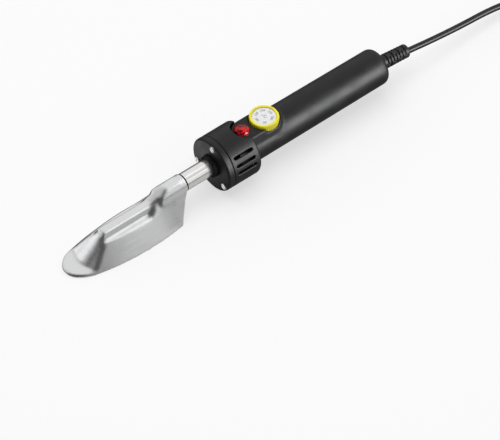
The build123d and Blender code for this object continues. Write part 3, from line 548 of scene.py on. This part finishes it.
BLACK = (0.0055, 0.0056, 0.006)
SURFACES = {
    "cast_aluminium": cast_aluminium(),
    "neck_steel": neck_steel(),
    "zinc_steel": plated_steel("zinc_steel", (0.82, 0.82, 0.80), 0.22),
    "black_plastic": moulded_plastic("black_plastic", BLACK, 0.46, 0.00045, 0.00002, 0.45),
    "black_bush": moulded_plastic("black_bush", (0.006, 0.006, 0.006), 0.6, 0.0006, 0.00004, 0.3),
    "red_lens": red_lens(),
    "yellow_plastic": moulded_plastic("yellow_plastic", (0.95, 0.85, 0.03), 0.34, 0.0007, 0.00001, 0.5),
    "printed_disc": printed_disc(),
    "bulb_glass": clear_glass(),
    "mica": layered_mica(),
    "board_green": circuit_board(),
    "component_black": moulded_plastic("component_black", (0.02, 0.02, 0.021), 0.5, 0.0005, 0.00002),
    "component_blue": moulded_plastic("component_blue", (0.03, 0.12, 0.36), 0.4, 0.0005, 0.00002),
    "heat_sink_aluminium": plated_steel("heat_sink_aluminium", (0.70, 0.71, 0.72), 0.35),
    "terminal_nylon": moulded_plastic("terminal_nylon", (0.68, 0.66, 0.58), 0.5, 0.0008, 0.00002),
    "brass_parts": plated_steel("brass_parts", (0.78, 0.57, 0.25), 0.28),
    "heat_sleeve": woven_sleeve(),
    "core_brown": moulded_plastic("core_brown", (0.16, 0.06, 0.02), 0.45, 0.0006, 0.00001),
    "core_blue": moulded_plastic("core_blue", (0.02, 0.10, 0.42), 0.45, 0.0006, 0.00001),
    "core_green": moulded_plastic("core_green", (0.10, 0.34, 0.04), 0.45, 0.0006, 0.00001),
    "black_rubber": rubber("black_rubber", (0.006, 0.006, 0.0065), 0.42),
    "cord_rubber": rubber("cord_rubber", (0.004, 0.004, 0.0043), 0.27),
    "tie_black": tie_strap(),
    "plug_rubber": rubber("plug_rubber", (0.008, 0.008, 0.0085), 0.45),
    "plug_metal": plated_steel("plug_metal", (0.80, 0.79, 0.74), 0.2),
    "print_ink": print_ink(),
}


def finish_nodes():
    """Every CAD node gets its slot's finished material."""
    slots = {part["node"]: part["material_slot"] for part in frame["record"]["subparts"]}
    for name, node in NODES.items():
        node.data.materials.clear()
        node.data.materials.append(SURFACES[slots[name]].material)


# ---------------------------------------------------------------- mesh tools


def wear(piece, slot, body="body", hides=(), finish=None):
    """Give a piece its material, slot, body and the CAD nodes it stands for."""
    piece.data.materials.clear()
    piece.data.materials.append(SURFACES[finish or slot].material)
    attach(piece, body)
    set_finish(piece, slot)
    if hides:
        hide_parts(*hides)
    return piece


def even_copy(node, voxel):
    """A copy of a CAD node's mesh, rebuilt from even faces about voxel metres across."""
    piece = add_object(f"{node}_finished", NODES[node].data.copy())
    modifier = piece.modifiers.new("even", "REMESH")
    modifier.mode = "VOXEL"
    modifier.voxel_size = voxel
    return bake(piece)


def bake(piece):
    """Apply a piece's modifiers to its mesh."""
    depsgraph = bpy.context.evaluated_depsgraph_get()
    mesh = bpy.data.meshes.new_from_object(piece.evaluated_get(depsgraph))
    piece.modifiers.clear()
    piece.data = mesh
    mesh.name = piece.name
    return piece


def points_of(mesh):
    points = np.empty(len(mesh.vertices) * 3)
    mesh.vertices.foreach_get("co", points)
    return points.reshape(-1, 3)


def relax(piece, rounds, pace=0.5, fill_only=False, where=None):
    """Round a mesh off by drawing each point towards its neighbours' middle, again and again.

    fill_only moves points only outwards, which fills inner corners and spares outer edges.
    where gives each point's share of the movement from the points' places."""
    mesh = piece.data
    points = points_of(mesh)
    count = len(points)
    edges = np.empty(len(mesh.edges) * 2, dtype=np.int64)
    mesh.edges.foreach_get("vertices", edges)
    one, two = edges[0::2], edges[1::2]
    links = np.bincount(edges, minlength=count)[:, None]
    share = pace if where is None else pace * where(points)[:, None]
    for round_number in range(rounds):
        if fill_only and round_number % 5 == 0:
            mesh.vertices.foreach_set("co", points.ravel())
            mesh.update()
            normals = np.empty(count * 3)
            mesh.vertices.foreach_get("normal", normals)
            normals = normals.reshape(-1, 3)
        sums = [
            np.bincount(one, points[two, axis], count) + np.bincount(two, points[one, axis], count)
            for axis in range(3)
        ]
        shift = np.stack(sums, 1) / links - points
        if fill_only:
            outward = np.clip((shift * normals).sum(1), 0, None)
            shift = normals * outward[:, None]
        points = points + share * shift
    mesh.vertices.foreach_set("co", points.ravel())
    mesh.update()
    return piece


def shade_smooth(piece, angle=None):
    """Smooth shading, with hard edges above an angle in degrees if one is given."""
    for face in piece.data.polygons:
        face.use_smooth = True
    if angle is not None:
        piece.data.set_sharp_from_angle(angle=math.radians(angle))
    return piece


def mesh_object(name, points, faces):
    mesh = bpy.data.meshes.new(name)
    mesh.from_pydata([tuple(p) for p in points], [], faces)
    mesh.update()
    return add_object(name, mesh)


def round_part(node):
    """A turned CAD node's bottom, top, middle from above and outer radius."""
    low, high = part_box(node)
    return low.z, high.z, ((low.x + high.x) / 2, (low.y + high.y) / 2), (high.x - low.x) / 2


def ring(centre, radius, z, count, first=0.0):
    """Points evenly round a level circle; the first one is that share of a step round."""
    angles = [2 * math.pi * (k + first) / count for k in range(count)]
    return [(centre[0] + radius * math.cos(a), centre[1] + radius * math.sin(a), z) for a in angles]


def lathe(name, profile, centre, steps=96, radius_at=None):
    """A closed turned shape about a vertical axis through centre, from (radius, z) points.

    radius_at may change a point's radius from its radius, height and angle."""
    points = []
    faces = []
    rows = len(profile)
    for step in range(steps):
        angle = 2 * math.pi * step / steps
        for radius, z in profile:
            r = radius_at(radius, z, angle) if radius_at else radius
            points.append((centre[0] + r * math.cos(angle), centre[1] + r * math.sin(angle), z))
    for step in range(steps):
        after = (step + 1) % steps
        for row in range(rows):
            up = (row + 1) % rows
            faces.append((step * rows + row, after * rows + row, after * rows + up, step * rows + up))
    return mesh_object(name, points, faces)


finish_nodes()


# ---------------------------------------------------------------- shoe


def fill_below_socket(piece, low, high):
    """Draw the leaning sides out below the socket until they run into its round without a step."""
    points = points_of(piece.data)
    x, across, z = points[:, 0], np.abs(points[:, 1]), points[:, 2] - low.z
    half = SOLE_HALF_WIDTH - SOLE_TAPER * (x - high.x + SOLE_WIDTH_FROM_REAR)
    wall = half - SIDE_SLOPE * z
    full = half - (half - SOCKET_HALF_WIDTH) / AXIS_HEIGHT * z
    from_axis = np.hypot(across, z - AXIS_HEIGHT)
    share = np.clip((x - high.x + FILL_LENGTH) / FILL_RUN_IN, 0, 1)
    share = share * share * (3 - 2 * share)
    share *= np.clip((across - wall + 1.2 * MM) / (1.2 * MM), 0, 1)
    share *= np.clip((from_axis - SOCKET_SPARED_RADIUS) / (0.3 * MM), 0, 1) * (z < AXIS_HEIGHT)
    moved = across + share * np.clip(full - across, 0, None)
    points[:, 1] = np.sign(points[:, 1]) * moved
    piece.data.vertices.foreach_set("co", points.ravel())
    piece.data.update()


def shoe():
    """The cast shoe, with cast fillets in its corners and soft outer edges."""
    piece = even_copy("shoe", 0.0005)
    low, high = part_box("shoe")

    def above_plate(points):
        return np.clip((points[:, 2] - low.z - PLATE_SPARED_HEIGHT) / (1.2 * MM), 0, 1)

    def in_front_of_socket(points):
        from_socket = (high.x - SOCKET_LENGTH - points[:, 0]) / SOCKET_LENGTH
        return above_plate(points) * np.clip(from_socket, 0.12, 1)

    fill_below_socket(piece, low, high)
    relax(piece, 30, fill_only=True, where=above_plate)
    relax(piece, 70, where=in_front_of_socket)
    relax(piece, 6)
    return wear(shade_smooth(piece), "cast_aluminium", hides=["shoe"])


# ---------------------------------------------------------------- body parts


def moulded_parts():
    """The black mouldings, rebuilt with soft edges."""
    for node, voxel, rounds in (
        ("front_cap", 0.00040, 5),
        ("collar", 0.00042, 5),
        ("handle_shell", 0.00074, 5),
        ("neck_bush", 0.00040, 4),
    ):
        slot = "black_bush" if node == "neck_bush" else "black_plastic"
        wear(shade_smooth(relax(even_copy(node, voxel), rounds)), slot, hides=[node])


def screws():
    """The cap's three screws, with softened edges."""
    piece = relax(even_copy("cap_screws", 0.00014), 3)
    return wear(shade_smooth(piece), "zinc_steel", hides=["cap_screws"])


def relief():
    """The ribbed rubber sleeve at the cord's root."""
    piece = relax(even_copy("strain_relief", 0.00028), 4)
    return wear(shade_smooth(piece), "black_rubber", hides=["strain_relief"])


# ---------------------------------------------------------------- lamp


def lens():
    """The faceted red dome: staggered rings of flat facets, hollow, with a skirt in the barrel."""
    bottom, top, centre, radius = round_part("lamp_lens")
    base = top - 4.5 * MM
    skirt_radius = 4.2 * MM
    count = LENS_FACETS
    dome = [(1.0, base), (0.99, base + 1.3 * MM), (0.80, base + 2.8 * MM), (0.48, base + 4.0 * MM)]
    inner = [
        (skirt_radius, base),
        (skirt_radius, bottom),
        (skirt_radius - MM, bottom),
        (skirt_radius - MM, base + 1.8 * MM),
    ]
    points = []
    faces = []
    for index, (share, z) in enumerate(dome):
        points.extend(ring(centre, radius * share, z, count, 0.5 * (index % 2)))
    crown = len(points)
    points.append((centre[0], centre[1], top))
    skirt = len(points)
    for r, z in inner:
        points.extend(ring(centre, r, z, count))

    def steps_round(row):
        return [(row + k, row + (k + 1) % count) for k in range(count)]

    for index in range(len(dome) - 1):
        rows = zip(steps_round(index * count), steps_round((index + 1) * count))
        for (a, b), (c, d) in rows:
            faces.extend([(a, b, d), (a, d, c)] if index % 2 else [(a, b, c), (b, d, c)])
    for a, b in steps_round(crown - count):
        faces.append((a, b, crown))
    upper_rows = [0] + [skirt + row * count for row in range(len(inner) - 1)]
    for row, upper in enumerate(upper_rows):
        for (a, b), (c, d) in zip(steps_round(upper), steps_round(skirt + row * count)):
            faces.append((b, a, c, d))
    last = skirt + (len(inner) - 1) * count
    faces.append(tuple(last + k for k in reversed(range(count))))
    piece = mesh_object("lens", points, faces)
    bevel = piece.modifiers.new("edge", "BEVEL")
    bevel.width = 0.12 * MM
    bevel.segments = 2
    bevel.limit_method = "ANGLE"
    bevel.angle_limit = math.radians(8)
    bake(piece)
    return wear(piece, "red_lens", hides=["lamp_lens"])


def bezel():
    """The lamp's black barrel with a thin rolled rim."""
    bottom, top, centre, outer = round_part("lamp_bezel")
    bore = 4.3 * MM
    barrel = 5.5 * MM
    rim_z = top - 0.9 * MM
    profile = [
        (bore, bottom),
        (barrel, bottom),
        (barrel, rim_z),
        (outer - 0.1 * MM, rim_z),
        (outer, rim_z + 0.3 * MM),
        (outer - 0.1 * MM, top - 0.2 * MM),
        (outer - 0.4 * MM, top),
        (6.85 * MM, top - 0.15 * MM),
        (6.80 * MM, rim_z + 0.3 * MM),
        (bore, rim_z + 0.3 * MM),
    ]
    piece = lathe("bezel", profile, centre)
    return wear(shade_smooth(piece, 50), "black_plastic", hides=["lamp_bezel"])


# ---------------------------------------------------------------- dial


def knob():
    """The yellow knob: a rolled rim round the disc, fine finger ribs and a hollow underside."""
    bottom, top, centre, outer = round_part("dial_knob")
    seat = outer - 2.6 * MM
    seat_z = top - 1.3 * MM
    hub_z = bottom + 3.6 * MM
    underside_z = top - 2.2 * MM
    profile = [
        (DIAL_BORE_RADIUS, hub_z),
        (5.0 * MM, hub_z),
        (5.2 * MM, underside_z),
        (outer - 2.2 * MM, underside_z),
        (outer - 2.0 * MM, bottom),
        (outer - 0.3 * MM, bottom),
        (outer, bottom + 0.3 * MM),
        (outer, top - 1.5 * MM),
        (outer - 0.12 * MM, top - 0.8 * MM),
        (outer - 0.5 * MM, top - 0.28 * MM),
        (outer - 1.1 * MM, top),
        (outer - 2.0 * MM, top - 0.03 * MM),
        (seat + 0.35 * MM, top - 0.12 * MM),
        (seat, top - 0.3 * MM),
        (seat, seat_z),
        (DIAL_BORE_RADIUS, seat_z),
    ]

    def ribbed(radius, z, angle):
        depth = DIAL_RIB_DEPTH * smooth_share((radius - outer + 0.6 * MM) / (0.5 * MM))
        depth *= 1 - smooth_share((z - top + 0.9 * MM) / (0.7 * MM))
        return radius - depth * (0.5 - 0.5 * math.cos(DIAL_RIBS * angle)) ** 2

    piece = lathe("knob", profile, centre, steps=DIAL_RIBS * 8, radius_at=ribbed)
    return wear(shade_smooth(piece, 50), "yellow_plastic", "dial", ["dial_knob"])


def disc():
    """The printed disc with a softened edge, set in the knob."""
    bottom, top, centre, outer = round_part("dial_disc")
    pinhole = 0.02 * MM
    profile = [
        (pinhole, bottom),
        (outer - 0.05 * MM, bottom),
        (outer, bottom + 0.1 * MM),
        (outer - 0.1 * MM, top - 0.03 * MM),
        (outer - 0.2 * MM, top),
        (pinhole, top),
    ]
    piece = lathe("disc", profile, centre)
    return wear(shade_smooth(piece, 50), "printed_disc", "dial", ["dial_disc"])


def text_mesh(words, size):
    """The outline of short printed text as a flat mesh, centred on its own origin."""
    data = bpy.data.curves.new("print", "FONT")
    data.body = words
    data.size = size
    data.align_x = "CENTER"
    data.align_y = "CENTER"
    data.extrude = 0.02 * MM
    data.offset = 0.06 * MM
    data.resolution_u = 3
    carrier = add_object("print", data)
    mesh = bpy.data.meshes.new_from_object(carrier)
    bpy.data.objects.remove(carrier)
    return mesh


def tick_mesh(length):
    """One printed tick, drawn along Y."""
    tick = bmesh.new()
    bmesh.ops.create_cube(tick, size=1.0)
    bmesh.ops.scale(tick, verts=tick.verts, vec=(0.18 * MM, length, 0.04 * MM))
    mesh = bpy.data.meshes.new("tick")
    tick.to_mesh(mesh)
    tick.free()
    return mesh


def dial_print():
    """Plain numbers and ticks round the disc, with the unit in the middle."""
    _, top, centre, radius = round_part("dial_disc")
    middle = Vector((*centre, top + 0.01 * MM))
    sheet = bmesh.new()

    def stamp(mesh, turn, away):
        spin = Matrix.Rotation(turn, 4, "Z")
        mesh.transform(Matrix.Translation(middle) @ spin @ Matrix.Translation((0, away, 0)))
        sheet.from_mesh(mesh)

    def turn_at(index, count):
        return DIAL_START - DIAL_SWEEP * index / (count - 1)

    for index, number in enumerate(DIAL_NUMBERS):
        stamp(text_mesh(number, 3.1 * MM), turn_at(index, len(DIAL_NUMBERS)), radius * 0.66)
    stamp(text_mesh("°C", 4.4 * MM), math.radians(-40), 0)
    for index in range(DIAL_TICKS):
        length = (0.7 if index % 5 else 1.3) * MM
        stamp(tick_mesh(length), turn_at(index, DIAL_TICKS), radius - 0.35 * MM - length / 2)
    mesh = bpy.data.meshes.new("dial_print")
    sheet.to_mesh(mesh)
    sheet.free()
    return wear(add_object("dial_print", mesh), "printed_disc", "dial", finish="print_ink")


# ---------------------------------------------------------------- cord's pieces


def plug():
    """The moulded plug, with finger ribs round its grip."""
    piece = even_copy("plug_body", 0.00055)
    low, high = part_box("plug_body")
    axis = ((low.y + high.y) / 2, (low.z + high.z) / 2)
    points = points_of(piece.data)
    along = points[:, 0] - low.x
    inside = np.clip((along - PLUG_GRIP_FROM) / MM, 0, 1) * np.clip((PLUG_GRIP_TO - along) / MM, 0, 1)
    ribs = inside * PLUG_RIB_DEPTH * (0.5 - 0.5 * np.cos(2 * np.pi * along / PLUG_RIB_SPACING))
    out = points[:, 1:] - np.array(axis)
    reach = np.linalg.norm(out, axis=1)
    outer_skin = reach > 8 * MM
    points[:, 1:] -= out / np.maximum(reach, 1e-6)[:, None] * (ribs * outer_skin)[:, None]
    piece.data.vertices.foreach_set("co", points.ravel())
    relax(piece, 5)
    return wear(shade_smooth(piece), "plug_rubber", hides=["plug_body"])


def strap():
    """The strap round the coil."""
    piece = relax(even_copy("cord_tie", 0.00025), 3)
    return wear(shade_smooth(piece), "tie_black", hides=["cord_tie"])


shoe()
moulded_parts()
screws()
relief()
lens()
bezel()
knob()
disc()
dial_print()
plug_piece = plug()
strap_piece = strap()
wear(mains_cord, "cord_rubber", hides=["power_cord", "cord_coil", "cord_tail"])


# ---------------------------------------------------------------- stage and light


def add_floor():
    """The light table; the cards below shine through it, and it is not mirrored in the metal."""
    half = 6.0
    corners = [(-half, -half, 0), (half, -half, 0), (half, half, 0), (-half, half, 0)]
    floor = mesh_object("floor", corners, [(0, 1, 2, 3)])
    floor.data.materials.append(pale_floor().material)
    floor.visible_glossy = False
    floor.visible_shadow = False
    floor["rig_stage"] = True


def add_softbox(name, direction, distance, size, radiance, only=(), target=(0, 0, 0), in_reflections=True):
    """A soft rectangular light that faces the target; it lights only the pieces in only, if given."""
    data = bpy.data.lights.new(name, "AREA")
    data.shape = "RECTANGLE"
    data.size, data.size_y = size
    data.energy = radiance * math.pi * size[0] * size[1]
    lamp = add_object(name, data)
    towards = Vector(direction).normalized()
    lamp.location = Vector(target) + towards * distance
    lamp.rotation_mode = "QUATERNION"
    lamp.rotation_quaternion = (-towards).to_track_quat("-Z", "Y")
    lamp.visible_camera = False
    lamp.visible_glossy = in_reflections
    if only:
        receivers = bpy.data.collections.new(f"{name}_receivers")
        for piece in only:
            receivers.objects.link(piece)
        lamp.light_linking.receiver_collection = receivers


def pieces_with(*slots):
    """The pieces whose material is for one of these slots."""
    return [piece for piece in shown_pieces() if piece.get("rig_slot") in slots]


def add_softboxes():
    """General light, and cards that only the metal or only the black parts can mirror."""
    black = pieces_with(*BLACK_SLOTS)
    pale = [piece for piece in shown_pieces() if piece not in black]
    cast = pieces_with("cast_aluminium")
    from_behind = (0.45, -0.36, 0.82)
    from_below = (-0.42, 0.52, -0.74)
    cap_low, cap_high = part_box("front_cap")
    cap_face = (cap_low.x, cap_high.y * 0.35, cap_high.z * 0.85)
    cap = [bpy.data.objects["front_cap_finished"]]
    add_softbox("side_softbox", (0.42, -0.76, 0.49), 1.4, (1.2, 0.9), 0.32)
    add_softbox("black_softbox", (0.42, -0.86, 0.29), 1.4, (1.4, 0.9), 7.6, only=black)
    add_softbox("metal_card", (0.35, -0.60, -0.62), 1.4, (2.6, 2.0), 0.42, only=pale)
    add_softbox("sky_card", (0.42, 0.52, 0.74), 1.5, (1.6, 1.6), 0.16, only=pale)
    add_softbox("nose_card", (-0.68, 0.68, 0.28), 1.4, (0.9, 0.9), 0.45, only=cast)
    add_softbox("rear_card", from_behind, 1.5, (1.3, 1.3), 0.45, only=pale)
    add_softbox("ledge_card", from_behind, 1.4, (1.1, 1.1), 0.40, only=cast)
    add_softbox("screw_card", from_below, 0.6, (0.5, 0.5), 0.95, only=pieces_with("zinc_steel"))
    add_softbox("cap_card", from_below, 0.08, (0.05, 0.05), 0.9, only=cap, target=cap_face)
    add_softbox("top_fill", (0.0, 0.1, 1.0), 1.6, (1.6, 1.6), 1.9, in_reflections=False)


def add_world():
    """A pale tent, dimmer below the horizon, with a dark opening in one fixed direction."""
    world = bpy.data.worlds.new("tent")
    world.use_nodes = True
    nodes, links = world.node_tree.nodes, world.node_tree.links
    backdrop = nodes["Background"]
    place = nodes.new("ShaderNodeTexCoord").outputs["Generated"]

    def along(direction, *limits):
        dot = nodes.new("ShaderNodeVectorMath")
        dot.operation = "DOT_PRODUCT"
        dot.inputs[1].default_value = direction
        links.new(place, dot.inputs[0])
        return soft_range(nodes, links, dot.outputs["Value"], limits)

    wide = math.cos(math.radians(OPENING_HALF_ANGLE + OPENING_SOFTNESS))
    narrow = math.cos(math.radians(OPENING_HALF_ANGLE - OPENING_SOFTNESS))
    tent = along((0, 0, 1), -0.10, 0.16, TENT_BELOW, TENT_ABOVE)
    opening = along(camera_direction(), wide, narrow, 1.0, OPENING_SHARE)
    light = joined_values(nodes, links, "MULTIPLY", tent, opening)
    seen = nodes.new("ShaderNodeLightPath").outputs["Is Camera Ray"]
    choice = nodes.new("ShaderNodeMix")
    links.new(seen, choice.inputs[0])
    links.new(light, choice.inputs[2])
    choice.inputs[3].default_value = BACKDROP
    links.new(choice.outputs[0], backdrop.inputs["Strength"])
    backdrop.inputs["Color"].default_value = (1.0, 1.0, 1.0, 1.0)
    bpy.context.scene.world = world


add_floor()
add_world()
add_softboxes()
bpy.context.scene.view_settings.view_transform = "Standard"
